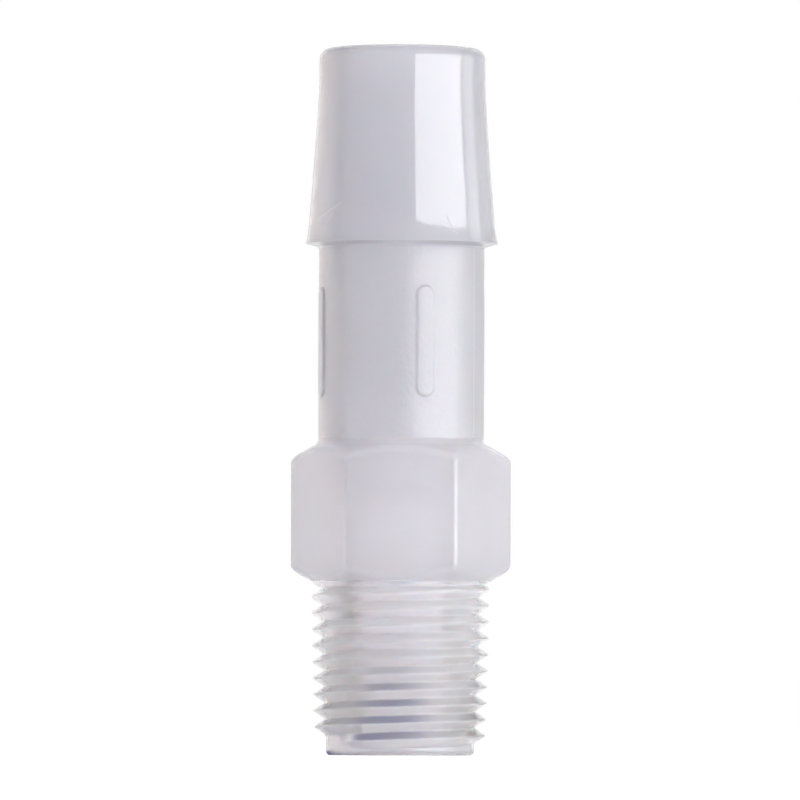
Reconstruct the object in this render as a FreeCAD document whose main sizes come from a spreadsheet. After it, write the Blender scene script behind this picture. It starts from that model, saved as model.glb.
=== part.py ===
import FreeCAD, Part
import math
import os
import Sketcher

# Tube connector: a tapered male pipe thread, a hexagon and a single hose barb, moulded as one piece.
# Millimetres. +Z runs along the flow axis from the thread to the barb, and the origin is at the middle
# of the tip's end face, on which the connector stands. The hexagon has corners on +X and -X.

NODE = "connector_body"

# Driving dimensions: name, value in millimetres or degrees, and what it measures.
SIZES = [
    ("overall_length", 41.0, "tip face to barb end"),
    ("barb_length", 11.37, "barb end down to the shoulder's edge"),
    ("barb_end_dia", 9.65, "barb at its end"),
    ("barb_shoulder_dia", 11.18, "barb at the shoulder's sharp edge"),
    ("barb_end_round", 0.65, "rounding of the barb's end, made as two facets"),
    ("land_length", 2.4, "straight land behind the barb's end"),
    ("flare_length", 1.77, "flared lip in front of the shoulder"),
    ("flare_rise", 0.235, "radius gained over the flared lip"),
    ("shoulder_drop", 0.16, "how far the shoulder falls towards the neck"),
    ("neck_dia", 9.6, "neck that the end of the hose lies on"),
    ("rib_count", 4, "raised ribs round the neck"),
    ("rib_middle_height", 23.87, "middle of the ribs above the tip face"),
    ("rib_length", 6.5, "rib end to end"),
    ("rib_width", 1.15, "rib side to side"),
    ("rib_rise", 0.12, "rib above the neck along its middle"),
    ("rib_azimuth", 16.5, "first rib, turned from the front towards +X"),
    ("hexagon_flats", 11.11, "hexagon across its flats"),
    ("hexagon_length", 8.04, "underside up to where the collar meets the neck"),
    ("hexagon_corner_round", 0.3, "rounding of the six upright corners"),
    ("hexagon_chamfer", 30, "slope of both end chamfers from the horizontal"),
    ("hexagon_face_dia", 10.33, "flat ring of the underside"),
    ("collar_facet", 0.26, "what the facet between neck and collar takes off each"),
    ("thread_length", 10.06, "tip face up to the hexagon's underside"),
    ("pipe_dia", 10.287, "outside of the pipe size, which limits the crests"),
    ("crest_dia_tip", 9.985, "full crests, taken back to the tip face"),
    ("thread_pitch", 0.9407, "27 threads to the inch"),
    ("thread_taper", 0.0625, "diameter gained for each unit of length"),
    ("thread_depth", 0.71, "full crest down to the root"),
    ("thread_start", 230, "azimuth where the thread starts, from +X"),
    ("thread_start_height", 0.82, "crest height at the start"),
    ("thread_fade", 20, "turn over which the thread rises out of the tip"),
    ("tip_dia", 8.65, "straight tip below the thread"),
    ("tip_length", 1.1, "length of the straight tip"),
    ("tip_chamfer", 0.25, "chamfer of the tip's outer edge"),
    ("barb_bore_dia", 6.8, "flow passage in the barb and the neck"),
    ("thread_bore_dia", 5.9, "flow passage in the threaded end"),
    ("bore_step_height", 14.85, "where the narrow passage starts to widen"),
    ("bore_step_angle", 45, "slope of the widening from the axis"),
    ("bore_chamfer", 0.2, "chamfer of both mouths of the passage"),
]

HEXAGON_SIDES = 6
UPRIGHT = FreeCAD.Vector(0, 0, 1)
# How far a cut runs past the material that it removes.
OVERRUN = 1.0
# How far the core lies inside the thread's root, and how thick the coil is under the root.
ROOT_OVERLAP = 0.03
COIL_THICKNESS = 0.3
# Height of the thread where it starts, as a share of its full height.
START_SHARE = 0.1
# Points that an interpolated turn of the thread passes through.
POINTS_PER_TURN = 16
# A volume that changes by less than this, in cubic millimetres, hasn't changed.
NO_VOLUME = 0.001
# Two places nearer than this are the same place.
SAME_PLACE = 0.001

doc = FreeCAD.newDocument("tube_connector")
sizes = doc.addObject("Spreadsheet::Sheet", "sizes")
for row, (alias, number, note) in enumerate(SIZES, start=1):
    sizes.set("A%d" % row, alias)
    sizes.set("B%d" % row, str(number))
    sizes.set("C%d" % row, note)
    sizes.setAlias("B%d" % row, alias)
doc.recompute()

body = doc.addObject("PartDesign::Body", "moulded_form")

# Places that several features share, as expressions of the sheet.
TOP = "sizes.overall_length"
SHOULDER = "(sizes.overall_length - sizes.barb_length)"
SHOULDER_R = "(sizes.barb_shoulder_dia / 2)"
END_R = "(sizes.barb_end_dia / 2)"
NECK_R = "(sizes.neck_dia / 2)"
COLLAR = "(sizes.thread_length + sizes.hexagon_length)"
FLAT_R = "(sizes.hexagon_flats / 2)"
BLANK_R = "(sizes.hexagon_flats / 2 / cos(180deg / %d) + %s)" % (HEXAGON_SIDES, OVERRUN)
FACE_R = "(sizes.hexagon_face_dia / 2)"
CHAMFER = "tan(sizes.hexagon_chamfer * 1deg)"
TIP_R = "(sizes.tip_dia / 2)"
BARB_BORE_R = "(sizes.barb_bore_dia / 2)"
THREAD_BORE_R = "(sizes.thread_bore_dia / 2)"


def root_radius(height):
    """Radius of the thread's root at a height, as an expression."""
    return "(sizes.crest_dia_tip / 2 - sizes.thread_depth + %s * sizes.thread_taper / 2)" % height


def number_of(expression):
    """Value of an expression of the sheet, in millimetres or degrees."""
    result = body.evalExpression(str(expression))
    return float(getattr(result, "Value", result))


def origin_feature(role):
    """Plane or axis of the body's origin, by its role."""
    return [item for item in body.Origin.OriginFeatures if item.Role == role][0]


def new_sketch(name, role="XZ_Plane", height=None, turn=None):
    """Sketch on an origin plane, lifted by one expression, or turned about the axis by another."""
    sketch = body.newObject("Sketcher::SketchObject", name)
    sketch.AttachmentSupport = [(origin_feature(role), "")]
    sketch.MapMode = "FlatFace"
    if height:
        lift = FreeCAD.Vector(0, 0, number_of(height))
        sketch.AttachmentOffset = FreeCAD.Placement(lift, FreeCAD.Rotation())
        sketch.setExpression("AttachmentOffset.Base.z", height)
    if turn:
        rotation = FreeCAD.Rotation(FreeCAD.Vector(0, 1, 0), number_of(turn))
        sketch.AttachmentOffset = FreeCAD.Placement(FreeCAD.Vector(), rotation)
        sketch.setExpression("AttachmentOffset.Rotation.Angle", turn)
    return sketch


def bind(sketch, constraint, expression):
    """Adds a dimension to a sketch and binds it to an expression of the sheet."""
    index = sketch.addConstraint(constraint)
    sketch.setExpression("Constraints[%d]" % index, expression)


def hold_point(sketch, edge, end, place):
    """Holds one end or the centre of an edge at a place, given as two expressions."""
    origin = (-1, 1)
    upright_axis = -2
    level_axis = -1
    for way, axis, expression in (
            ("DistanceX", upright_axis, place[0]), ("DistanceY", level_axis, place[1])):
        distance = number_of(expression)
        if abs(distance) < SAME_PLACE:
            sketch.addConstraint(Sketcher.Constraint("PointOnObject", edge, end, axis))
        elif distance > 0:
            bind(sketch, Sketcher.Constraint(way, *origin, edge, end, distance), expression)
        else:
            bind(sketch, Sketcher.Constraint(way, edge, end, *origin, -distance), "-(%s)" % expression)


def tangent_arc(start, end, heading):
    """Arc that leaves start along heading and reaches end, and whether it turns left."""
    chord = end - start
    left = FreeCAD.Vector(-heading.y, heading.x, 0)
    turns_left = chord.dot(left) > 0
    towards_centre = left if turns_left else -left
    radius = chord.dot(chord) / (2 * chord.dot(towards_centre))
    centre = start + towards_centre * radius
    first, last = (start, end) if turns_left else (end, start)
    angles = [math.atan2(point.y - centre.y, point.x - centre.x) for point in (first, last)]
    circle = Part.Circle(centre, UPRIGHT, radius)
    return Part.ArcOfCircle(circle, *angles), turns_left


def outline(name, corners, arcs_from=()):
    """Closed outline through corners, each a radius and a height.

    The edge that leaves a corner numbered in arcs_from is an arc, tangent to the edge before it.
    """
    sketch = new_sketch(name)
    points = [FreeCAD.Vector(*[number_of(part) for part in corner], 0) for corner in corners]
    ends = []
    for index, start in enumerate(points):
        end = points[(index + 1) % len(points)]
        if index in arcs_from:
            arc, turns_left = tangent_arc(start, end, (start - points[index - 1]).normalize())
            sketch.addGeometry(arc)
            ends.append((1, 2) if turns_left else (2, 1))
        else:
            sketch.addGeometry(Part.LineSegment(start, end))
            ends.append((1, 2))
    for index, corner in enumerate(corners):
        before = (index - 1) % len(corners)
        joint = "Tangent" if index in arcs_from else "Coincident"
        sketch.addConstraint(
            Sketcher.Constraint(joint, before, ends[before][1], index, ends[index][0]))
        hold_point(sketch, index, ends[index][0], corner)
    return sketch


def new_feature(kind, name, sketch=None):
    """Feature of the body, made from a sketch where it has one."""
    feature = body.newObject("PartDesign::" + kind, name)
    if sketch:
        feature.Profile = sketch
        sketch.Visibility = False
    return feature


def finish_feature(feature, adds):
    """Recomputes a feature, which becomes the tip, and tests that it adds or removes material."""
    body.Tip = feature
    doc.recompute()
    before = feature.BaseFeature.Shape.Volume if feature.BaseFeature else 0
    change = feature.Shape.Volume - before
    if (change if adds else -change) < NO_VOLUME:
        raise RuntimeError("%s changes nothing" % feature.Name)
    return feature


def turned_form():
    """Everything that is round about the axis: the barb, the neck, the hexagon's blank and the core."""
    diagonal = "sizes.barb_end_round * (1 - cos(45deg))"
    barb = [
        (0, TOP),
        (END_R + " - sizes.barb_end_round", TOP),
        ("%s - %s" % (END_R, diagonal), "%s - %s" % (TOP, diagonal)),
        (END_R, TOP + " - sizes.barb_end_round"),
        (END_R, TOP + " - sizes.land_length"),
        (SHOULDER_R + " - sizes.flare_rise", SHOULDER + " + sizes.flare_length"),
        (SHOULDER_R, SHOULDER),
    ]
    neck = [
        (NECK_R, SHOULDER + " - sizes.shoulder_drop"),
        (NECK_R, COLLAR + " + sizes.collar_facet"),
        (NECK_R + " + sizes.collar_facet * cos(sizes.hexagon_chamfer * 1deg)",
         COLLAR + " - sizes.collar_facet * sin(sizes.hexagon_chamfer * 1deg)"),
    ]
    blank = [
        (BLANK_R, "%s - (%s - %s) * %s" % (COLLAR, BLANK_R, NECK_R, CHAMFER)),
        (BLANK_R, "sizes.thread_length + (%s - %s) * %s" % (BLANK_R, FACE_R, CHAMFER)),
        (FACE_R, "sizes.thread_length"),
    ]
    core = [
        ("%s - %s" % (root_radius("sizes.thread_length"), ROOT_OVERLAP), "sizes.thread_length"),
        ("%s - %s" % (root_radius("sizes.tip_length"), ROOT_OVERLAP), "sizes.tip_length"),
        (TIP_R, "sizes.tip_length"),
        (TIP_R, "sizes.tip_chamfer"),
        (TIP_R + " - sizes.tip_chamfer", 0),
        (0, 0),
    ]
    flare_top = barb[5]
    corners = barb + neck + blank + core
    sketch = outline("turned_outline", corners, [corners.index(flare_top)])
    form = new_feature("Revolution", "turned_form", sketch)
    form.ReferenceAxis = (sketch, ["V_Axis"])
    form.Angle = 360
    return finish_feature(form, True)


def hexagon():
    """The blank cut down to six flats, with rounded upright corners between them."""
    sketch = new_sketch("hexagon_outline", "XY_Plane", height="sizes.thread_length - %s" % OVERRUN)
    radius = number_of("sizes.hexagon_corner_round")
    centre_radius = "(%s - sizes.hexagon_corner_round) / cos(180deg / %d)" % (FLAT_R, HEXAGON_SIDES)
    half_side = 180 / HEXAGON_SIDES
    for corner in range(HEXAGON_SIDES):
        azimuth = 2 * half_side * corner
        centre = ["%s * %s(%sdeg)" % (centre_radius, way, azimuth) for way in ("cos", "sin")]
        point = FreeCAD.Vector(*[number_of(part) for part in centre], 0)
        span = [math.radians(azimuth - half_side), math.radians(azimuth + half_side)]
        sketch.addGeometry(Part.ArcOfCircle(Part.Circle(point, UPRIGHT, radius), *span))
        hold_point(sketch, corner, 3, centre)
        bind(sketch, Sketcher.Constraint("Radius", corner, radius), "sizes.hexagon_corner_round")
    for corner in range(HEXAGON_SIDES):
        following = (corner + 1) % HEXAGON_SIDES
        line = Part.LineSegment(sketch.getPoint(corner, 2), sketch.getPoint(following, 1))
        side = sketch.addGeometry(line)
        sketch.addConstraint(Sketcher.Constraint("Tangent", corner, 2, side, 1))
        sketch.addConstraint(Sketcher.Constraint("Tangent", side, 2, following, 1))
    rim_radius = "%s + %s" % (BLANK_R, OVERRUN)
    rim = sketch.addGeometry(Part.Circle(FreeCAD.Vector(), UPRIGHT, number_of(rim_radius)))
    sketch.addConstraint(Sketcher.Constraint("Coincident", rim, 3, -1, 1))
    bind(sketch, Sketcher.Constraint("Radius", rim, number_of(rim_radius)), rim_radius)
    flats = new_feature("Pocket", "hexagon", sketch)
    flats.Reversed = True
    flats.setExpression("Length", "sizes.hexagon_length + 2 * %s" % OVERRUN)
    return finish_feature(flats, False)


def ribs():
    """Raised obround ribs that keep the end of the hose from turning on the neck."""
    sketch = new_sketch("rib_outline", turn="sizes.rib_azimuth * 1deg")
    half_width = "(sizes.rib_width / 2)"
    low = "(sizes.rib_middle_height - sizes.rib_length / 2 + %s)" % half_width
    high = "(sizes.rib_middle_height + sizes.rib_length / 2 - %s)" % half_width
    radius = number_of(half_width)
    low_point = FreeCAD.Vector(0, number_of(low), 0)
    high_point = FreeCAD.Vector(0, number_of(high), 0)
    side = FreeCAD.Vector(radius, 0, 0)
    top, bottom, right, left = range(4)
    sketch.addGeometry(Part.ArcOfCircle(Part.Circle(high_point, UPRIGHT, radius), 0, math.pi))
    sketch.addGeometry(Part.ArcOfCircle(Part.Circle(low_point, UPRIGHT, radius), math.pi, 2 * math.pi))
    sketch.addGeometry(Part.LineSegment(low_point + side, high_point + side))
    sketch.addGeometry(Part.LineSegment(high_point - side, low_point - side))
    for first, first_end, second, second_end in (
            (right, 2, top, 1), (top, 2, left, 1), (left, 2, bottom, 1), (bottom, 2, right, 1)):
        sketch.addConstraint(Sketcher.Constraint("Tangent", first, first_end, second, second_end))
    for arc, height in ((top, high), (bottom, low)):
        hold_point(sketch, arc, 3, (0, height))
    bind(sketch, Sketcher.Constraint("Radius", top, radius), half_width)
    rib = new_feature("Pad", "first_rib", sketch)
    rib.setExpression("Length", NECK_R + " + sizes.rib_rise")
    finish_feature(rib, True)
    all_ribs = new_feature("PolarPattern", "all_ribs")
    all_ribs.Originals = [rib]
    all_ribs.Axis = (origin_feature("Z_Axis"), [""])
    all_ribs.Angle = 360
    all_ribs.setExpression("Occurrences", "sizes.rib_count")
    return finish_feature(all_ribs, True)


def flow_passage():
    """The passage through the connector, which widens inside the hexagon towards the barb."""
    widening = "(%s - %s) / tan(sizes.bore_step_angle * 1deg)" % (BARB_BORE_R, THREAD_BORE_R)
    sketch = outline("passage_outline", [
        (0, 0),
        (THREAD_BORE_R + " + sizes.bore_chamfer", 0),
        (THREAD_BORE_R, "sizes.bore_chamfer"),
        (THREAD_BORE_R, "sizes.bore_step_height"),
        (BARB_BORE_R, "sizes.bore_step_height + " + widening),
        (BARB_BORE_R, TOP + " - sizes.bore_chamfer"),
        (BARB_BORE_R + " + sizes.bore_chamfer", TOP),
        (0, TOP),
    ])
    passage = new_feature("Groove", "flow_passage", sketch)
    passage.ReferenceAxis = (sketch, ["V_Axis"])
    passage.Angle = 360
    return finish_feature(passage, False)


def helix_point(azimuth, radius, height):
    """Point at an azimuth in degrees, a radius and a height."""
    turn = math.radians(azimuth)
    return FreeCAD.Vector(radius * math.cos(turn), radius * math.sin(turn), height)


def helix_edge(start, end):
    """Edge whose azimuth, radius and height all run evenly from start to end."""
    steps = max(2, math.ceil((end[0] - start[0]) / 360 * POINTS_PER_TURN))
    shares = [step / steps for step in range(steps + 1)]
    points = [
        helix_point(*[low + (high - low) * share for low, high in zip(start, end)])
        for share in shares
    ]
    curve = Part.BSplineCurve()
    curve.interpolate(Points=points, Parameters=shares)
    return curve.toShape()


def thread_height(azimuth):
    """Height of the crest line at an azimuth."""
    return sizes.thread_start_height + (azimuth - sizes.thread_start) / 360 * sizes.thread_pitch


def coil_section(azimuth):
    """Corners of the coil's section at an azimuth, in order round it, from the foot up.

    The section is one pitch high, so that each turn shares its root line with the next one. Its
    crest rises over the first stretch, and lies no further out than the pipe.
    """
    middle = thread_height(azimuth)
    root = number_of(root_radius(repr(middle)))
    share = START_SHARE if azimuth == sizes.thread_start else 1
    crest = (azimuth, min(root + sizes.thread_depth * share, sizes.pipe_dia / 2), middle)
    corners = [crest]
    for way in (-1, 1):
        height = middle + way * sizes.thread_pitch / 2
        radius = number_of(root_radius(repr(height)))
        foot = [(azimuth, radius - COIL_THICKNESS, height), (azimuth, radius, height)]
        corners = foot + corners if way < 0 else corners + foot[::-1]
    return corners


def thread_coil():
    """The thread as a coil of pointed turns, from its start on the tip to inside the hexagon."""
    start = sizes.thread_start
    buried = sizes.thread_length + sizes.thread_pitch / 2 + ROOT_OVERLAP
    turns = math.ceil((buried - sizes.thread_start_height) / sizes.thread_pitch)
    stations = []
    for turn in range(turns):
        stations += [start + 360 * turn, start + 360 * turn + sizes.thread_fade]
    stations.append(start + 360 * turns)
    sections = [coil_section(azimuth) for azimuth in stations]
    first_turn = sections[:3]
    last_turn = sections[-3:]
    faces = []
    for near, far in zip(sections, sections[1:]):
        edges = [helix_edge(first, last) for first, last in zip(near, far)]
        low_wall, low_root, crest, high_root, high_wall = edges
        pairs = [(low_root, crest), (crest, high_root), (high_wall, low_wall)]
        if near in first_turn[:2]:
            pairs.append((low_wall, low_root))
        if near in last_turn[:2]:
            pairs.append((high_root, high_wall))
        faces += [Part.makeRuledSurface(*pair) for pair in pairs]
    for section in (sections[0], sections[-1]):
        faces.append(Part.Face(Part.makePolygon(
            [helix_point(*corner) for corner in section + section[:1]])))
    shell = Part.makeShell(faces)
    shell.sewShape()
    solid = Part.makeSolid(shell)
    if solid.Volume < 0:
        solid.reverse()
    coil = doc.addObject("Part::Feature", "thread_coil")
    coil.Shape = solid
    return coil


turned_form()
hexagon()
ribs()
flow_passage()

connector = doc.addObject("Part::Fuse", "connector")
connector.Label = NODE
connector.Base = body
connector.Tool = thread_coil()
doc.recompute()

for item in doc.Objects:
    if {"Invalid", "Error"} & set(item.State):
        raise RuntimeError("%s did not rebuild" % item.Name)
shape = connector.Shape
if shape.isNull() or not shape.isValid() or len(shape.Solids) != 1:
    raise RuntimeError("%s isn't one sound solid" % NODE)

os.makedirs("parts", exist_ok=True)
shape.exportStep(os.path.join("parts", NODE + ".step"))
print("%s: %.2f mm3, %d faces" % (NODE, shape.Volume, len(shape.Faces)))
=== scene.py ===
import math

import bpy
import numpy as np
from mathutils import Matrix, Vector


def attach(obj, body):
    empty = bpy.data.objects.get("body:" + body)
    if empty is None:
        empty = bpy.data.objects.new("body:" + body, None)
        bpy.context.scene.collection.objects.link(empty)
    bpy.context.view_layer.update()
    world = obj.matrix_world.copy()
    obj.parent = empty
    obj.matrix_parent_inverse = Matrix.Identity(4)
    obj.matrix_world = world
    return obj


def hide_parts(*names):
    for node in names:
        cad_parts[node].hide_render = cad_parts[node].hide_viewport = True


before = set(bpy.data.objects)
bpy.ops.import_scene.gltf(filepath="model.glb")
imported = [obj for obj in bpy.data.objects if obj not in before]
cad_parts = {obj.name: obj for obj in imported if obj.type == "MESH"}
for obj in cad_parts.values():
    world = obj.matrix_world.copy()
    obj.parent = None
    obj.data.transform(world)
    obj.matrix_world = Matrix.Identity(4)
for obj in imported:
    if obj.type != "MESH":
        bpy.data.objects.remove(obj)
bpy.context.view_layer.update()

# The connector.
# One injection moulding in natural polypropylene: a tapered pipe thread, a spanner hexagon, a ribbed
# neck and a hose barb, with a passage through it all. The mould was blasted for the neck and the hexagon
# and polished elsewhere. Sizes are millimetres, and heights run up from the face it stands on.

# The surface is laid out in columns, upright lines at these azimuths in degrees from +X. They stand
# closer at the hexagon's corners, at the ribs' sides and at the mould's parting line.
HEXAGON_CORNERS = np.arange(6) * 60.0
RIB_AZIMUTHS = -73.5 + np.arange(4) * 90.0
PARTING_AZIMUTHS = np.array([-29.5, 150.5])
THREAD_START = 222.0
EVEN_STEP = 2.5
ABOUT_A_CORNER = np.arange(-3.2, 3.3, 0.8)
OFF_A_RIB = np.array([1.3, 2.6, 3.8, 4.8, 5.6, 6.1, 6.35, 6.6, 6.85, 7.2, 8.2])
ABOUT_THE_PARTING = np.array([-1.2, -0.6, 0.0, 0.6, 1.2])
LEAST_TO_EVEN_COLUMN = 0.9
LEAST_BETWEEN_COLUMNS = 0.2


def laid_out_columns():
    """Azimuths from the thread's start once round: an even set and the closer ones, without near doubles."""
    even = np.arange(0.0, 360.0, EVEN_STEP)
    corners = HEXAGON_CORNERS[:, None] + ABOUT_A_CORNER
    ribs = RIB_AZIMUTHS[:, None] + np.concatenate([-OFF_A_RIB, OFF_A_RIB])
    parting = PARTING_AZIMUTHS[:, None] + ABOUT_THE_PARTING
    close = np.concatenate([part.ravel() for part in (corners, ribs, parting)]) % 360
    close = np.unique(np.round(close, 3))
    to_close = np.min(np.abs((even[:, None] - close + 180) % 360 - 180), axis=1)
    azimuths = np.concatenate([even[to_close > LEAST_TO_EVEN_COLUMN], close])
    azimuths = np.sort((azimuths - THREAD_START) % 360)
    kept = np.diff(azimuths, append=azimuths[0] + 360) > LEAST_BETWEEN_COLUMNS
    return THREAD_START + azimuths[kept]


COLUMNS = laid_out_columns()


def points(azimuth, radius, height):
    """Points in metres from azimuth in degrees, radius and height in millimetres."""
    turn, radius, height = np.broadcast_arrays(np.radians(azimuth), radius, height)
    return np.stack([radius * np.cos(turn), radius * np.sin(turn), height], axis=-1) / 1000


def turned(profile):
    """Points of a profile of radii and heights, carried round the axis over the columns."""
    return points(COLUMNS, profile[:, :1], profile[:, 1:])


def line(start, end, steps):
    """Radii and heights at even steps along a straight line."""
    return np.linspace(start, end, steps)


def arc(centre, radius, start, end, steps):
    """Radii and heights along an arc, between two directions in degrees that run up from outward."""
    angles = np.radians(np.linspace(start, end, steps))
    return np.stack([centre[0] + radius * np.cos(angles), centre[1] + radius * np.sin(angles)], axis=1)


def softly_lesser(first, second, width):
    """The lesser of two values, and where they differ by less than a width, lower still by the square
    of the overlap's share of it times a quarter of it, which rounds the corner between them."""
    overlap = np.clip(1 - np.abs(first - second) / width, 0, 1)
    return np.minimum(first, second) - overlap ** 2 * width / 4


def eased(share):
    """A rise from 0 to 1 with level ends: 3 s squared - 2 s cubed."""
    share = np.clip(share, 0, 1)
    return share * share * (3 - 2 * share)


# Tip: the plain end under the thread, with the passage's rounded mouth.
TIP_RADIUS = 4.325
TIP_ROUND = 0.3
THREAD_BORE = 2.95
MOUTH_ROUND = 0.25


def tip_zone():
    """Points of the end face and its rounded edge, from the passage's mouth out."""
    edge_centre = (TIP_RADIUS - TIP_ROUND, TIP_ROUND)
    return turned(np.concatenate([
        line((THREAD_BORE + MOUTH_ROUND, 0), (TIP_RADIUS - TIP_ROUND, 0), 4)[:-1],
        arc(edge_centre, TIP_ROUND, -90, 0, 7),
    ]))


# Thread: 27 to the inch on a 1 in 16 taper, its crests limited by the pipe's outside. It grows out of
# the tip over its first degrees, and the tip's radius steps in a little under the first turn.
PITCH = 0.9407
TAPER = 0.0625
THREAD_DEPTH = 0.72
THREAD_ROUNDING = 0.012
CREST_RADIUS_AT_TIP = 4.9925
PIPE_RADIUS = 5.1435
PIPE_EDGE_ROUNDING = 0.08
THREAD_START_HEIGHT = 0.7991
THREAD_FADE = 38.0
THREAD_TOP = 10.06
THREAD_PITCHES = 11
TIP_STEP = 0.05
TIP_STEP_HEIGHT = 1.0
TIP_STEP_RUN = 0.35
ROWS_PER_PITCH = 14


def thread_radius(azimuth, height):
    """Radius of the threaded end.

    It is the root cone plus a rounded triangle wave of the height above the nearest crest line,
    arccos of a cosine that stays short of 1, times a straight rise over the first degrees of the thread.
    """
    turn = ((azimuth - THREAD_START) / 360) % 1
    above = (height - THREAD_START_HEIGHT) / PITCH - turn
    whole_turns = np.round(above)
    triangle = 1 - np.arccos((1 - THREAD_ROUNDING) * np.cos(2 * np.pi * above)) / np.pi
    rise = np.clip((whole_turns + turn) * 360 / THREAD_FADE, 0, 1) * (whole_turns >= 0)
    root = CREST_RADIUS_AT_TIP - THREAD_DEPTH + TAPER / 2 * height
    radius = softly_lesser(root + THREAD_DEPTH * triangle * rise, PIPE_RADIUS, PIPE_EDGE_ROUNDING)
    plain_tip = TIP_RADIUS - TIP_STEP * eased((height - TIP_STEP_HEIGHT) / TIP_STEP_RUN)
    return np.maximum(radius, plain_tip)


# Hexagon: 11.11 across the flats, with a 30 degree cone at both ends. Its corners are rounded and end
# at one outside radius. The profile's cones run on to a radius past them all.
HEXAGON_FLATS_RADIUS = 5.555
CORNER_ROUND = 0.2
CORNER_REACH = 6.3675
PAST_THE_CORNERS = 7.2
UNDERSIDE_RADIUS = 5.165
CHAMFER = math.radians(30)
CONE_EDGE_ROUNDING = 0.5
NECK_RADIUS = 4.8
COLLAR = 18.1
COLLAR_FILLET = 0.45


def hexagon_radius(azimuth):
    """Radius of a hexagon with rounded corners: a flat, or near a corner the arc round its centre, or the
    corners' reach where that is less."""
    from_corner = np.radians((azimuth + 30) % 60 - 30)
    centre = (HEXAGON_FLATS_RADIUS - CORNER_ROUND) / math.cos(math.pi / 6)
    flat = HEXAGON_FLATS_RADIUS / np.cos(math.pi / 6 - np.abs(from_corner))
    across = centre * np.sin(from_corner)
    rounded = centre * np.cos(from_corner) + np.sqrt(np.maximum(CORNER_ROUND ** 2 - across ** 2, 0))
    touch = math.atan2(CORNER_ROUND / 2, centre + CORNER_ROUND * math.cos(math.pi / 6))
    return np.minimum(np.where(np.abs(from_corner) < touch, rounded, flat), CORNER_REACH)


def thread_zone():
    """Points of the thread: rows that climb one pitch a turn, as the crests do, cut level at both ends.
    The cone of the hexagon's lower end runs on down into the last groove."""
    rows = np.arange(-ROWS_PER_PITCH, THREAD_PITCHES * ROWS_PER_PITCH + 1)[:, None]
    turn = (COLUMNS - THREAD_START) / 360
    height = THREAD_START_HEIGHT + PITCH * (turn + rows / ROWS_PER_PITCH - 1)
    height = np.clip(height, TIP_ROUND, THREAD_TOP)
    cone = UNDERSIDE_RADIUS - (THREAD_TOP - height) / math.tan(CHAMFER)
    cone = softly_lesser(cone, hexagon_radius(COLUMNS), CONE_EDGE_ROUNDING)
    return points(COLUMNS, np.maximum(thread_radius(COLUMNS, height), cone), height)


def hexagon_zone():
    """Points of the hexagon, from the thread's last turn to the neck: the lesser of a profile with a cone
    at each end, and the hexagon."""
    low_end = THREAD_TOP + (PAST_THE_CORNERS - UNDERSIDE_RADIUS) * math.tan(CHAMFER)
    high_end = COLLAR - (PAST_THE_CORNERS - NECK_RADIUS) * math.tan(CHAMFER)
    centre = (NECK_RADIUS + COLLAR_FILLET, COLLAR + COLLAR_FILLET * math.tan(CHAMFER))
    cone_foot = (centre[0] - COLLAR_FILLET * math.sin(CHAMFER), centre[1] - COLLAR_FILLET * math.cos(CHAMFER))
    profile = np.concatenate([
        line((UNDERSIDE_RADIUS, THREAD_TOP), (PAST_THE_CORNERS, low_end), 20),
        line((PAST_THE_CORNERS, low_end), (PAST_THE_CORNERS, high_end), 8)[1:-1],
        line((PAST_THE_CORNERS, high_end), cone_foot, 24),
        arc(centre, COLLAR_FILLET, 240, 180, 7)[1:],
    ])
    radius = softly_lesser(profile[:, :1], hexagon_radius(COLUMNS), CONE_EDGE_ROUNDING)
    return points(COLUMNS, radius, profile[:, 1:])


# Neck: four raised obround ribs keep the hose from turning, 90 degrees apart, and a thin line shows
# where the mould's halves met, fading out at both ends. The rows lie closer over the ribs' round ends.
RIB_MIDDLE = 23.87
RIB_HALF_LENGTH = 3.25
RIB_HALF_WIDTH = 0.575
RIB_RISE = 0.12
RIB_EDGE = 0.13
PAST_RIB_END = np.array([
    -0.66, -0.56, -0.47, -0.38, -0.3, -0.23, -0.17, -0.12, -0.08, -0.045, -0.02, 0.0, 0.05, 0.15,
])
RIB_ROWS_OFF_MIDDLE = 1.2
ROWS_OVER_COLLAR = np.array([0.0, 0.3, 1.0])
ROWS_UNDER_SHOULDER = np.array([0.7, 0.0])
SHOULDER_FOOT = 29.47
SHOULDER_FILLET = 0.15
PARTING_RISE = 0.03
PARTING_SPREAD = 0.05
PARTING_ABOVE_COLLAR = 0.3
PARTING_BELOW_SHOULDER = 0.2
PARTING_FADE = 0.6


def neck_details(azimuth, height):
    """What stands proud of the neck: the ribs, which rise softly inside their outline, and the parting
    line, a bell curve of the distance from it."""
    rib_turn = (azimuth - RIB_AZIMUTHS[0] + 45) % 90 - 45
    across = np.radians(rib_turn) * NECK_RADIUS
    along = np.maximum(np.abs(height - RIB_MIDDLE) - (RIB_HALF_LENGTH - RIB_HALF_WIDTH), 0)
    inside = RIB_HALF_WIDTH - np.hypot(across, along)
    rib = RIB_RISE * eased(inside / RIB_EDGE)
    from_parting = np.radians((azimuth - PARTING_AZIMUTHS[0] + 90) % 180 - 90) * NECK_RADIUS
    low_end = eased((height - COLLAR - PARTING_ABOVE_COLLAR) / PARTING_FADE)
    high_end = eased((SHOULDER_FOOT - PARTING_BELOW_SHOULDER - height) / PARTING_FADE)
    parting = PARTING_RISE * np.exp(-(from_parting / PARTING_SPREAD) ** 2) * (low_end * high_end)
    return rib + parting


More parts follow.
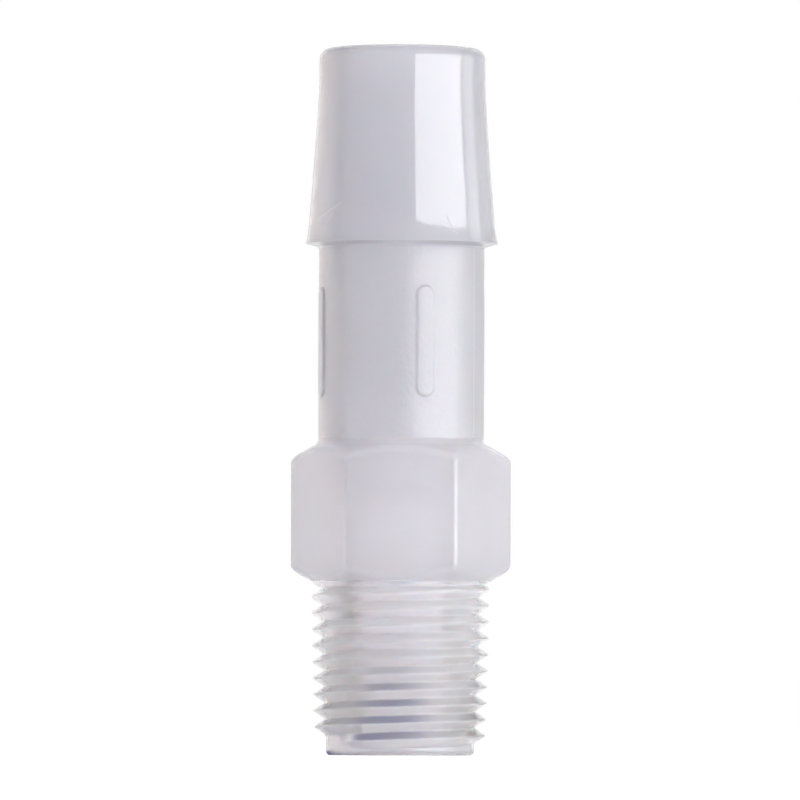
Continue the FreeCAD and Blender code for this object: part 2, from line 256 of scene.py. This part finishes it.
def neck_zone(foot):
    """Points of the neck with its ribs, from the collar's fillet to the shoulder's fillet."""
    head = SHOULDER_FOOT - SHOULDER_FILLET
    heights = np.concatenate([
        foot + ROWS_OVER_COLLAR,
        RIB_MIDDLE - RIB_HALF_LENGTH - PAST_RIB_END[::-1],
        [RIB_MIDDLE - RIB_ROWS_OFF_MIDDLE, RIB_MIDDLE + RIB_ROWS_OFF_MIDDLE],
        RIB_MIDDLE + RIB_HALF_LENGTH + PAST_RIB_END,
        head - ROWS_UNDER_SHOULDER,
    ])[:, None]
    heights = np.sort(heights, axis=0)
    return points(COLUMNS, NECK_RADIUS + neck_details(COLUMNS, heights), heights)


# Barb: a straight land under the rim, a taper that grows out of it, and a flared lip over a shoulder
# that rises a little towards it. The lip's corner and the shoulder's two ends are given as steps from
# the lip's edge, or from the neck, in radius and height.
OVERALL_LENGTH = 41.0
LAND_RADIUS = 4.825
RIM_ROUND = 0.65
TAPER_SLOPE = 0.0759
TAPER_FOOT = 38.3
TAPER_BLEND = 0.7
TAPER_ROWS_CHANGE = 36.0
LIP = 29.66
LIP_RISE = 0.103
LIP_TOP = 30.95
LIP_POWER = 1.7
LIP_ROUND = 0.05
LIP_CORNER = [(-0.03, -0.015), (0.0, 0.01)]
SHOULDER_FROM_NECK = (0.25, 0.03)
SHOULDER_FROM_LIP = (-0.1, -0.035)


def barb_radius(height):
    """Radius of the barb: the land, plus a ramp that starts softly (a logarithm of 1 + an exponential),
    plus the lip's rise, a power of the distance below its top."""
    ramp = TAPER_BLEND * np.log1p(np.exp((TAPER_FOOT - height) / TAPER_BLEND))
    lip = LIP_RISE * (np.clip(LIP_TOP - height, 0, None) / (LIP_TOP - LIP)) ** LIP_POWER
    return LAND_RADIUS + TAPER_SLOPE * ramp + lip


def barb_profile():
    """Radii and heights of the barb, from the fillet under its shoulder to the crown of its rim."""
    lip_radius = float(barb_radius(np.array(LIP)))
    heights = np.concatenate([
        np.linspace(LIP + LIP_ROUND, LIP_TOP, 10),
        np.linspace(LIP_TOP, TAPER_ROWS_CHANGE, 12)[1:],
        np.linspace(TAPER_ROWS_CHANGE, OVERALL_LENGTH - RIM_ROUND, 16)[1:],
    ])
    side = np.stack([barb_radius(heights), heights], axis=1)
    fillet_centre = (NECK_RADIUS + SHOULDER_FILLET, SHOULDER_FOOT - SHOULDER_FILLET)
    rim_centre = (side[-1, 0] - RIM_ROUND, OVERALL_LENGTH - RIM_ROUND)
    inner = (NECK_RADIUS + SHOULDER_FROM_NECK[0], SHOULDER_FOOT + SHOULDER_FROM_NECK[1])
    outer = (lip_radius + SHOULDER_FROM_LIP[0], LIP + SHOULDER_FROM_LIP[1])
    return np.concatenate([
        arc(fillet_centre, SHOULDER_FILLET, 180, 102, 5),
        line(inner, outer, 4),
        [(lip_radius + out, LIP + up) for out, up in LIP_CORNER],
        side,
        arc(rim_centre, RIM_ROUND, 0, 90, 10)[1:],
    ])


# Passage: wide in the barb, narrower in the thread, with a cone between them whose edges are eased.
BARB_BORE = 3.4
BORE_STEP = 14.85
STEP_EASE = (0.02, 0.1)
MOUTH_LENGTH = 1.5


def passage_profiles(crown):
    """Radii and heights from the rim's crown down the wide part of the passage, and from there down the
    narrow part to the end face."""
    step_top = BORE_STEP + BARB_BORE - THREAD_BORE
    wide = np.concatenate([
        line(crown, (BARB_BORE + MOUTH_ROUND, OVERALL_LENGTH), 3),
        arc((BARB_BORE + MOUTH_ROUND, OVERALL_LENGTH - MOUTH_ROUND), MOUTH_ROUND, 90, 180, 6)[1:],
        line((BARB_BORE, OVERALL_LENGTH - MOUTH_LENGTH), (BARB_BORE, step_top + STEP_EASE[1]), 8),
        [(BARB_BORE - STEP_EASE[0], step_top)],
    ])
    narrow = np.concatenate([
        line(wide[-1], (THREAD_BORE + STEP_EASE[0], BORE_STEP), 4),
        line((THREAD_BORE, BORE_STEP - STEP_EASE[1]), (THREAD_BORE, MOUTH_LENGTH), 6),
        arc((THREAD_BORE + MOUTH_ROUND, MOUTH_ROUND), MOUTH_ROUND, 180, 270, 6),
    ])
    return wide, narrow


# All zones join into one closed mesh, whose faces are marked with their zone's finish.
SAME_POINT = 1e-7


def ring_faces(rows, first, climb):
    """Triangles between rows of columns, closed round the axis. The last column joins the first one
    that many rows higher, and beyond the top row it joins the top row."""
    columns = len(COLUMNS)
    row = np.arange(rows - 1)[:, None]
    column = np.arange(columns)[None, :]
    lifted = np.where(column == columns - 1, climb, 0)
    beside = (column + 1) % columns
    low_right = np.minimum(row + lifted, rows - 1) * columns + beside
    high_right = np.minimum(row + 1 + lifted, rows - 1) * columns + beside
    low_left = row * columns + column
    high_left = low_left + columns
    triangles = [
        np.stack([low_left, low_right, high_right], axis=-1),
        np.stack([low_left, high_right, high_left], axis=-1),
    ]
    return first + np.concatenate([part.reshape(-1, 3) for part in triangles])


def joined_mesh(name, zones):
    """One mesh of all zones, each with its own finish. Points that are equal to a tenth of a micrometre
    become one vertex, and faces that fall flat on an edge go."""
    corners = np.concatenate([zone.reshape(-1, 3) for zone, climb, finish in zones])
    faces, finishes = [], []
    first = 0
    for zone, climb, finish in zones:
        faces.append(ring_faces(len(zone), first, climb))
        finishes.append(np.full(len(faces[-1]), finish))
        first += len(zone) * len(COLUMNS)
    faces, finishes = np.concatenate(faces), np.concatenate(finishes)
    grid = np.round(corners / SAME_POINT).astype(np.int64)
    keep, same = np.unique(grid, axis=0, return_index=True, return_inverse=True)[1:]
    faces = same.reshape(-1)[faces]
    whole = (faces[:, 0] != faces[:, 1]) & (faces[:, 1] != faces[:, 2]) & (faces[:, 0] != faces[:, 2])
    faces, finishes = faces[whole], finishes[whole]
    mesh = bpy.data.meshes.new(name)
    mesh.from_pydata(corners[keep], [], faces)
    mesh.polygons.foreach_set("use_smooth", np.ones(len(faces), dtype=bool))
    mesh.polygons.foreach_set("material_index", finishes)
    mesh.update()
    return mesh


THREAD, HEXAGON, NECK, BARB, WIDE_PASSAGE, NARROW_PASSAGE = range(6)
hexagon_points = hexagon_zone()
neck_foot = hexagon_points[-1, 0, 2] * 1000
barb_outline = barb_profile()
wide_passage, narrow_passage = passage_profiles(barb_outline[-1])
moulding_mesh = joined_mesh("moulding", [
    (tip_zone(), 0, THREAD),
    (thread_zone(), ROWS_PER_PITCH, THREAD),
    (hexagon_points, 0, HEXAGON),
    (neck_zone(neck_foot), 0, NECK),
    (turned(barb_outline), 0, BARB),
    (turned(wide_passage), 0, WIDE_PASSAGE),
    (turned(narrow_passage), 0, NARROW_PASSAGE),
])
moulding = bpy.data.objects.new("moulding", moulding_mesh)
bpy.context.scene.collection.objects.link(moulding)
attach(moulding, "root")
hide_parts("connector_body")


def node(tree, kind, place, **settings):
    """A node with some of its settings and its sockets' values given by name."""
    made = tree.nodes.new(kind)
    made.location = place
    for name, setting in settings.items():
        if name in made.inputs:
            made.inputs[name].default_value = setting
        else:
            setattr(made, name, setting)
    return made


def filled(tree, socket, value):
    """Gives a socket its value, which is another node's output or a plain one."""
    if isinstance(value, bpy.types.NodeSocket):
        tree.links.new(value, socket)
    else:
        socket.default_value = value


def worked_out(tree, place, operation, first, second=None):
    """The output of a Math node on one or two values."""
    made = node(tree, "ShaderNodeMath", place, operation=operation)
    filled(tree, made.inputs[0], first)
    if second is not None:
        filled(tree, made.inputs[1], second)
    return made.outputs["Value"]


def measured(tree, place, operation, first, second):
    """The output of a Vector Math node that gives a number, on two vectors."""
    made = node(tree, "ShaderNodeVectorMath", place, operation=operation)
    filled(tree, made.inputs[0], first)
    filled(tree, made.inputs[1], second)
    return made.outputs["Value"]


def ranged(tree, place, value, start, end, low=0.0, high=1.0):
    """A value carried from one range on to another, and held at its ends."""
    made = node(tree, "ShaderNodeMapRange", place)
    tree.links.new(value, made.inputs["Value"])
    made.inputs["From Min"].default_value = start
    made.inputs["From Max"].default_value = end
    made.inputs["To Min"].default_value = low
    made.inputs["To Max"].default_value = high
    return made.outputs["Result"]


def mixed(tree, place, share, first, second):
    """A colour between two, by a share of the second."""
    made = node(tree, "ShaderNodeMix", place, data_type="RGBA")
    for socket, value in zip((made.inputs[0], made.inputs[6], made.inputs[7]), (share, first, second)):
        filled(tree, socket, value)
    return made.outputs[2]


# Scratches on the barb: both ends as places on the front, rightward and upward in mm, and a width.
SCRATCHES = [
    ((-4.88, 31.00), (-3.48, 31.87), 0.07),
    ((-4.30, 30.75), (-3.95, 31.35), 0.04),
    ((2.30, 30.55), (3.30, 30.05), 0.05),
    ((2.55, 31.10), (3.05, 30.20), 0.04),
    ((1.20, 30.60), (2.60, 30.25), 0.04),
]


def scratched(tree, place):
    """How scratched the surface is, 0 to 1: the nearness of a point of the front to one of the scratches."""
    parts = node(tree, "ShaderNodeSeparateXYZ", (-2300, -900))
    tree.links.new(place, parts.inputs[0])
    on_front = worked_out(tree, (-2100, -1100), "LESS_THAN", parts.outputs["Y"], 0.0)
    flat = node(tree, "ShaderNodeCombineXYZ", (-2100, -900))
    tree.links.new(parts.outputs["X"], flat.inputs["X"])
    tree.links.new(parts.outputs["Z"], flat.inputs["Z"])
    nearest = 0.0
    for index, (start, end, width) in enumerate(SCRATCHES):
        low = -900 - 250 * index
        first = Vector((start[0], 0, start[1])) / 1000
        run = Vector((end[0], 0, end[1])) / 1000 - first
        from_first = node(tree, "ShaderNodeVectorMath", (-1900, low), operation="SUBTRACT")
        tree.links.new(flat.outputs[0], from_first.inputs[0])
        from_first.inputs[1].default_value = first
        along = measured(tree, (-1700, low), "DOT_PRODUCT", from_first.outputs[0], run / run.length_squared)
        share = node(tree, "ShaderNodeClamp", (-1500, low))
        tree.links.new(along, share.inputs["Value"])
        foot = node(tree, "ShaderNodeVectorMath", (-1300, low), operation="SCALE")
        foot.inputs[0].default_value = run
        tree.links.new(share.outputs[0], foot.inputs["Scale"])
        away = measured(tree, (-1100, low), "DISTANCE", from_first.outputs[0], foot.outputs[0])
        near = ranged(tree, (-900, low), away, width / 1000, 0.0)
        nearest = worked_out(tree, (-700, low), "MAXIMUM", near, nearest)
    return worked_out(tree, (-500, -1100), "MULTIPLY", nearest, on_front)


# The width in millimetres of the painted sheen, a whitening of the neck along the parting line.
PARTING_SHEEN = 0.06


def painted_parting_sheen(tree, place):
    """Nearness, 0 to 1, of a point to the upright plane where the mould's halves met, which whitens the neck
    as a painted sheen.
    """
    turn = math.radians(PARTING_AZIMUTHS[0])
    across = (math.sin(turn), -math.cos(turn), 0)
    off = measured(tree, (-1500, 900), "DOT_PRODUCT", place, across)
    distance = worked_out(tree, (-1300, 900), "ABSOLUTE", off)
    return ranged(tree, (-1100, 900), distance, PARTING_SHEEN / 1000, 0.0)


# The plastic is clear but hazy, the milk in it scatters light to these depths in millimetres, and its
# skin shines like a coat. The patterns' scales are repeats to the metre, and a mark's depth is metres.
PLASTIC_IOR = 1.49
SCATTER_DEPTHS = (1.3, 1.0, 0.8)
MILLIMETRE = 0.001
CLOUDS = 260.0
CLOUD_SHADE = 0.97
CLOUD_EDGES = (0.35, 0.65)
SMUDGES = 700.0
SMUDGE_HAZE = 0.03
WAVES = 420.0
GRAINS = 3600.0
MARK_DEPTH = 0.00002


def skin_relief(tree, place, pattern_scale, height, below, normal=None):
    """The normal over a noise pattern's relief, whose height is micrometres, laid over another normal."""
    pattern = node(tree, "ShaderNodeTexNoise", (-1000, below), Scale=pattern_scale, Detail=1.0)
    tree.links.new(place, pattern.inputs["Vector"])
    relief = node(tree, "ShaderNodeBump", (-600, below), Strength=1.0, Distance=height / 1e6)
    tree.links.new(pattern.outputs["Fac"], relief.inputs["Height"])
    if normal:
        tree.links.new(normal, relief.inputs["Normal"])
    return relief.outputs["Normal"]


def polypropylene(name, milk_and_painted_light, clearness, haze, gloss, wave_height, grain, mirror, wear_and_sheen_mark=None):
    """One finish of the natural polypropylene.

    The milk is its colour, set whiter in some zones and greyer in others as painted light and shade.
    Clearness is how much light passes straight on, and haze how much that light is blurred. The gloss is the
    roughness of the shining skin, and a passage has none. The slow waves of its skin and its blasted grain
    are micrometres high. The mirror is how well its inside reflects. A mark whitens and dents it: scratches
    on the barb, and on the neck a painted sheen along the parting line.
    """
    material = bpy.data.materials.new(name)
    material.use_nodes = True
    tree = material.node_tree
    shader = tree.nodes["Principled BSDF"]
    shader.inputs["IOR"].default_value = PLASTIC_IOR
    shader.inputs["Transmission Weight"].default_value = clearness
    shader.inputs["Subsurface Weight"].default_value = 1.0
    shader.inputs["Subsurface Radius"].default_value = SCATTER_DEPTHS
    shader.inputs["Subsurface Scale"].default_value = MILLIMETRE
    shader.inputs["Specular Tint"].default_value = (mirror, mirror, mirror, 1)
    shader.inputs["Coat Weight"].default_value = 1.0 if gloss else 0.0
    shader.inputs["Coat Roughness"].default_value = gloss
    shader.inputs["Coat IOR"].default_value = PLASTIC_IOR
    place = node(tree, "ShaderNodeTexCoord", (-2600, 0)).outputs["Object"]

    # Cloudy by a few per cent, where the plastic crystallised more.
    cloud = node(tree, "ShaderNodeTexNoise", (-1200, 500), Scale=CLOUDS, Detail=4.0, Roughness=0.55)
    tree.links.new(place, cloud.inputs["Vector"])
    clouded = node(tree, "ShaderNodeValToRGB", (-1000, 500))
    for stop, edge, shade in zip(clouded.color_ramp.elements, CLOUD_EDGES, (CLOUD_SHADE, 1.0)):
        stop.position = edge
        stop.color = (*[shade * part for part in milk_and_painted_light], 1)
    tree.links.new(cloud.outputs["Fac"], clouded.inputs["Fac"])
    colour = clouded.outputs["Color"]

    smudge = node(tree, "ShaderNodeTexNoise", (-1000, 100), Scale=SMUDGES, Detail=3.0)
    tree.links.new(place, smudge.inputs["Vector"])
    least, most = haze - SMUDGE_HAZE, haze + SMUDGE_HAZE
    uneven = ranged(tree, (-700, 100), smudge.outputs["Fac"], 0.0, 1.0, least, most)
    tree.links.new(uneven, shader.inputs["Roughness"])

    normal = skin_relief(tree, place, WAVES, wave_height, -300)
    normal = skin_relief(tree, place, GRAINS, grain, -600, normal)
    # A mark whitens the colour and dents the skin: on the barb the scratches are real whitened wear, on the
    # neck the whitened parting line is a painted sheen.
    if wear_and_sheen_mark:
        nearness = wear_and_sheen_mark(tree, place)
        colour = mixed(tree, (-300, 500), nearness, colour, (1, 1, 1, 1))
        dent = node(tree, "ShaderNodeBump", (-200, -300), Strength=1.0, Distance=MARK_DEPTH, invert=True)
        tree.links.new(nearness, dent.inputs["Height"])
        tree.links.new(normal, dent.inputs["Normal"])
        normal = dent.outputs["Normal"]
    tree.links.new(colour, shader.inputs["Base Color"])
    tree.links.new(normal, shader.inputs["Normal"])
    tree.links.new(normal, shader.inputs["Coat Normal"])
    return material


# In the order of the mesh's finishes. Only the neck and the hexagon have the grain of blasting. The plastic
# is one, but its milk is painted whiter on the thread and the narrow passage and greyer on the neck and the
# barb, as painted light and shade.
for finish in (
        polypropylene("thread_plastic", milk_and_painted_light=(0.98, 0.965, 1.0), clearness=0.81, haze=0.20, gloss=0.06,
                      wave_height=6, grain=0, mirror=1.0),
        polypropylene("hexagon_plastic", milk_and_painted_light=(0.85, 0.84, 0.88), clearness=0.83, haze=0.96, gloss=0.10,
                      wave_height=8, grain=0.3, mirror=0.2),
        polypropylene("neck_plastic", milk_and_painted_light=(0.745, 0.745, 0.79), clearness=0.80, haze=0.34, gloss=0.36,
                      wave_height=45, grain=22, mirror=0.5, wear_and_sheen_mark=painted_parting_sheen),
        polypropylene("barb_plastic", milk_and_painted_light=(0.74, 0.74, 0.795), clearness=0.80, haze=0.32, gloss=0.06,
                      wave_height=6, grain=0, mirror=0.4, wear_and_sheen_mark=scratched),
        polypropylene("wide_passage_plastic", milk_and_painted_light=(0.87, 0.87, 0.91), clearness=0.75, haze=0.35, gloss=0,
                      wave_height=6, grain=0, mirror=0.85),
        polypropylene("narrow_passage_plastic", milk_and_painted_light=(0.95, 0.935, 0.98), clearness=0.86, haze=0.31, gloss=0,
                      wave_height=6, grain=0, mirror=1.0)):
    moulding.data.materials.append(finish)


# The table.
# A round sheet in matt white paint, mottled a very little, its sizes in metres. A dark blue place with a soft
# edge lies under the connector's tip: painted shade, standing in for the shade under the tip and in its
# passage. The camera sees it only through the plastic, as shaded bands on the lower turns of the thread.
TABLE_RADIUS = 1.5
TABLE_SIDES = 96
PAINT_ROUGHNESS = 0.9
PAINT_SHINE = 0.1
PAINT_MOTTLE = 40.0
PAINT_SHADES = (0.90, 0.93)
# The painted shade under the tip: its radius, its soft edge as shares of the radius, its colour and its
# centre.
PAINTED_SHADE_RADIUS = 0.0035
PAINTED_SHADE_EDGE = (0.7, 1.3)
PAINTED_SHADE_COLOUR = (0.01, 0.015, 0.25, 1)
PAINTED_SHADE_PLACE = (-0.0016, 0, 0)
GLOW = 0.3


def table_paint():
    """The paint with the painted shade under the tip in it. A glow that only the camera sees makes the table
    plain white.
    """
    material = bpy.data.materials.new("table_paint")
    material.use_nodes = True
    tree = material.node_tree
    shader = tree.nodes["Principled BSDF"]
    shader.inputs["Roughness"].default_value = PAINT_ROUGHNESS
    shader.inputs["Specular IOR Level"].default_value = PAINT_SHINE
    place = node(tree, "ShaderNodeTexCoord", (-900, 0)).outputs["Object"]
    mottle = node(tree, "ShaderNodeTexNoise", (-700, 0), Scale=PAINT_MOTTLE, Detail=3.0)
    tree.links.new(place, mottle.inputs["Vector"])
    paint = node(tree, "ShaderNodeValToRGB", (-450, 0))
    for stop, shade in zip(paint.color_ramp.elements, PAINT_SHADES):
        stop.color = (shade, shade, shade, 1)
    tree.links.new(mottle.outputs["Fac"], paint.inputs["Fac"])
    to_camera = node(tree, "ShaderNodeLightPath", (-700, -300)).outputs["Is Camera Ray"]
    # Painted shade: the dark blue place under the tip, which camera rays don't see.
    reach = measured(tree, (-700, 250), "DISTANCE", place, PAINTED_SHADE_PLACE)
    outside = ranged(tree, (-500, 250), reach, *[PAINTED_SHADE_RADIUS * share for share in PAINTED_SHADE_EDGE])
    plain = worked_out(tree, (-350, 250), "MAXIMUM", outside, to_camera)
    surface = mixed(tree, (-200, 100), plain, PAINTED_SHADE_COLOUR, paint.outputs["Color"])
    tree.links.new(surface, shader.inputs["Base Color"])
    glow = worked_out(tree, (-450, -300), "MULTIPLY", to_camera, GLOW)
    shader.inputs["Emission Color"].default_value = (1, 1, 1, 1)
    tree.links.new(glow, shader.inputs["Emission Strength"])
    return material


def disc(name, radius, sides):
    """A level round sheet: a ring of corners at even angles, as one face."""
    angles = np.linspace(0, 2 * np.pi, sides, endpoint=False)
    corners = np.stack([radius * np.cos(angles), radius * np.sin(angles), 0 * angles], axis=1)
    mesh = bpy.data.meshes.new(name)
    mesh.from_pydata(corners, [], [list(range(sides))])
    return mesh


table = bpy.data.objects.new("table", disc("table", TABLE_RADIUS, TABLE_SIDES))
bpy.context.scene.collection.objects.link(table)
table.data.materials.append(table_paint())

# The room.
# White all over, but low down it is darker on the camera's side and a little less white to the left and
# to the right behind. The camera itself sees plain white. The list gives the brightness low down by
# direction, in degrees to the right of the camera's side.
ROOM_SIDES = [
    (-180, 0.95), (-160, 0.95), (-150, 0.85), (-97.5, 0.85), (-92.5, 0.75), (-45, 0.42), (13.5, 0.42),
    (18.5, 0.95), (113, 0.95), (118, 0.80), (150, 0.80), (160, 0.95), (180, 0.95),
]
ROOM_BLUE = 0.05
ROOM_HIGH = (0.95, 0.95, 0.96, 1)
LOW_TO_HIGH = (0.2, 0.5)


def room():
    """The room's light by direction: a ramp over the azimuth low down, and even light where the
    direction rises more steeply."""
    world = bpy.data.worlds.new("room")
    bpy.context.scene.world = world
    world.use_nodes = True
    tree = world.node_tree
    way = node(tree, "ShaderNodeTexCoord", (-1600, 0))
    parts = node(tree, "ShaderNodeSeparateXYZ", (-1400, 0))
    tree.links.new(way.outputs["Generated"], parts.inputs[0])
    to_camera_side = worked_out(tree, (-1200, 200), "MULTIPLY", parts.outputs["Y"], -1.0)
    azimuth = worked_out(tree, (-1000, 200), "ARCTAN2", parts.outputs["X"], to_camera_side)
    walls = node(tree, "ShaderNodeValToRGB", (-700, 200))
    tree.links.new(ranged(tree, (-800, 200), azimuth, -math.pi, math.pi), walls.inputs["Fac"])
    stops = walls.color_ramp.elements
    for degrees, brightness in ROOM_SIDES[1:-1]:
        stops.new((degrees + 180) / 360)
    for stop, (degrees, brightness) in zip(stops, ROOM_SIDES):
        stop.color = (brightness, brightness, (1 - ROOM_BLUE) * brightness + ROOM_BLUE, 1)
    steepness = ranged(tree, (-800, -150), parts.outputs["Z"], *LOW_TO_HIGH)
    light = mixed(tree, (-400, 0), steepness, walls.outputs["Color"], ROOM_HIGH)
    to_camera = node(tree, "ShaderNodeLightPath", (-400, 300)).outputs["Is Camera Ray"]
    seen = mixed(tree, (-200, 100), to_camera, light, (1, 1, 1, 1))
    tree.links.new(seen, tree.nodes["Background"].inputs["Color"])


room()

# The lamps.
# A wide softbox in front on the right, a narrow one beside it at the right, and a wide, dim, warm lamp
# behind on the left. Azimuths are degrees from +X, and distances metres.
MIDDLE = Vector((0, 0, OVERALL_LENGTH / 2000))


def softbox(name, azimuth, elevation, distance, width, height, radiance, colour=(1, 1, 1)):
    """A rectangular lamp aimed at the connector's middle. Its power is pi times radiance times area."""
    lamp = bpy.data.lights.new(name, "AREA")
    lamp.shape = "RECTANGLE"
    lamp.size = width
    lamp.size_y = height
    lamp.energy = math.pi * radiance * width * height
    lamp.color = colour
    stand = bpy.data.objects.new(name, lamp)
    bpy.context.scene.collection.objects.link(stand)
    turn, rise = math.radians(azimuth), math.radians(elevation)
    away = Vector((math.cos(rise) * math.cos(turn), math.cos(rise) * math.sin(turn), math.sin(rise)))
    stand.location = MIDDLE + away * distance
    stand.rotation_euler = (-away).to_track_quat("-Z", "Y").to_euler()


softbox("right_softbox", azimuth=-38, elevation=2, distance=0.5, width=0.72, height=0.3, radiance=5.2)
softbox("far_softbox", azimuth=13, elevation=2, distance=0.5, width=0.176, height=0.3, radiance=1.5)
softbox("left_lamp", azimuth=140, elevation=5, distance=0.6, width=0.66, height=0.4, radiance=0.5,
        colour=(1.0, 0.74, 0.60))

# The camera.
# A long lens just above the table, aimed a little over the connector's middle and rolled a very little.
# The view's width is what it sees at the connector. Lengths are metres, but the sensor's is millimetres.
CAMERA_DISTANCE = 0.58
CAMERA_HEIGHT = 0.0025
CAMERA_SIDE = -0.00007
CAMERA_ROLL = 0.215
AIM_HEIGHT = 0.0206
VIEW_WIDTH = 0.04638
SENSOR_WIDTH = 36.0
NEAREST_SEEN = 0.01
lens = bpy.data.cameras.new("camera")
lens.sensor_width = SENSOR_WIDTH
lens.lens = SENSOR_WIDTH * CAMERA_DISTANCE / VIEW_WIDTH
lens.clip_start = NEAREST_SEEN
camera = bpy.data.objects.new("camera", lens)
bpy.context.scene.collection.objects.link(camera)
camera.location = (CAMERA_SIDE, -CAMERA_DISTANCE, CAMERA_HEIGHT)
gaze = Vector((camera.location.x, 0, AIM_HEIGHT)) - camera.location
camera.rotation_euler = gaze.to_track_quat("-Z", "Y").to_euler()
camera.rotation_euler.rotate_axis("Z", math.radians(CAMERA_ROLL))
bpy.context.scene.camera = camera

bpy.context.scene.view_settings.view_transform = "Standard"
